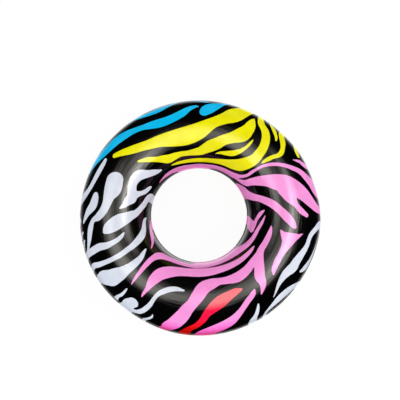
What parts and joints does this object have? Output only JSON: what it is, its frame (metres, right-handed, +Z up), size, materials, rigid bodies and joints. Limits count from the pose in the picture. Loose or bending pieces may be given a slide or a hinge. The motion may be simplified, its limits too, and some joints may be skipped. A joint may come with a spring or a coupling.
{
  "type": "inflatable swim ring",
  "caption": "Round inflatable pool float: ring-shaped film panels welded at an outer and an inner seam, with an open middle for the swimmer and a push-in stopper valve on the underside.",
  "frame": {"origin": "on the ring's axis, at the surface that the ring rests on", "axes": "+Z up along the ring's axis, +Y towards the side that carries the valve on the underside, -Y towards the viewer of the picture"},
  "size_m": [0.7699, 0.77, 0.2235],
  "materials": {
    "printed_film": "glossy soft vinyl film, black with coloured animal stripes",
    "weld": "pressed flat, finely ribbed by the welding tool",
    "valve_vinyl": "milky soft vinyl, moulded",
    "flap_film": "thin clear vinyl film"
  },
  "bodies": {
    "float": {"top_panel": "printed_film", "bottom_panel": "printed_film", "outer_weld_seam": "weld", "inner_weld_seam": "weld", "valve_flange": "valve_vinyl", "valve_boot": "valve_vinyl"},
    "valve": {"valve_stem": "valve_vinyl", "valve_strap": "valve_vinyl"},
    "stopper": {"valve_stopper": "valve_vinyl"},
    "flap": {"check_flap": "flap_film"}
  },
  "joints": [
    {"name": "valve_push", "type": "slide", "parent": "float", "child": "valve", "axis": [0, 0.766, -0.6428], "range_m": [0, 0.015], "deforming": ["valve_boot"]},
    {"name": "stopper_swing", "type": "hinge", "parent": "valve", "child": "stopper", "pos_m": [0, 0.36608, 0.04655], "axis": [1, 0, 0], "range_deg": [0, 165]},
    {"name": "flap_open", "type": "hinge", "parent": "valve", "child": "flap", "pos_m": [0, 0.34582, 0.05532], "axis": [-1, 0, 0], "range_deg": [0, 50], "stiffness_Nm_per_rad": 0.0005}
  ]
}
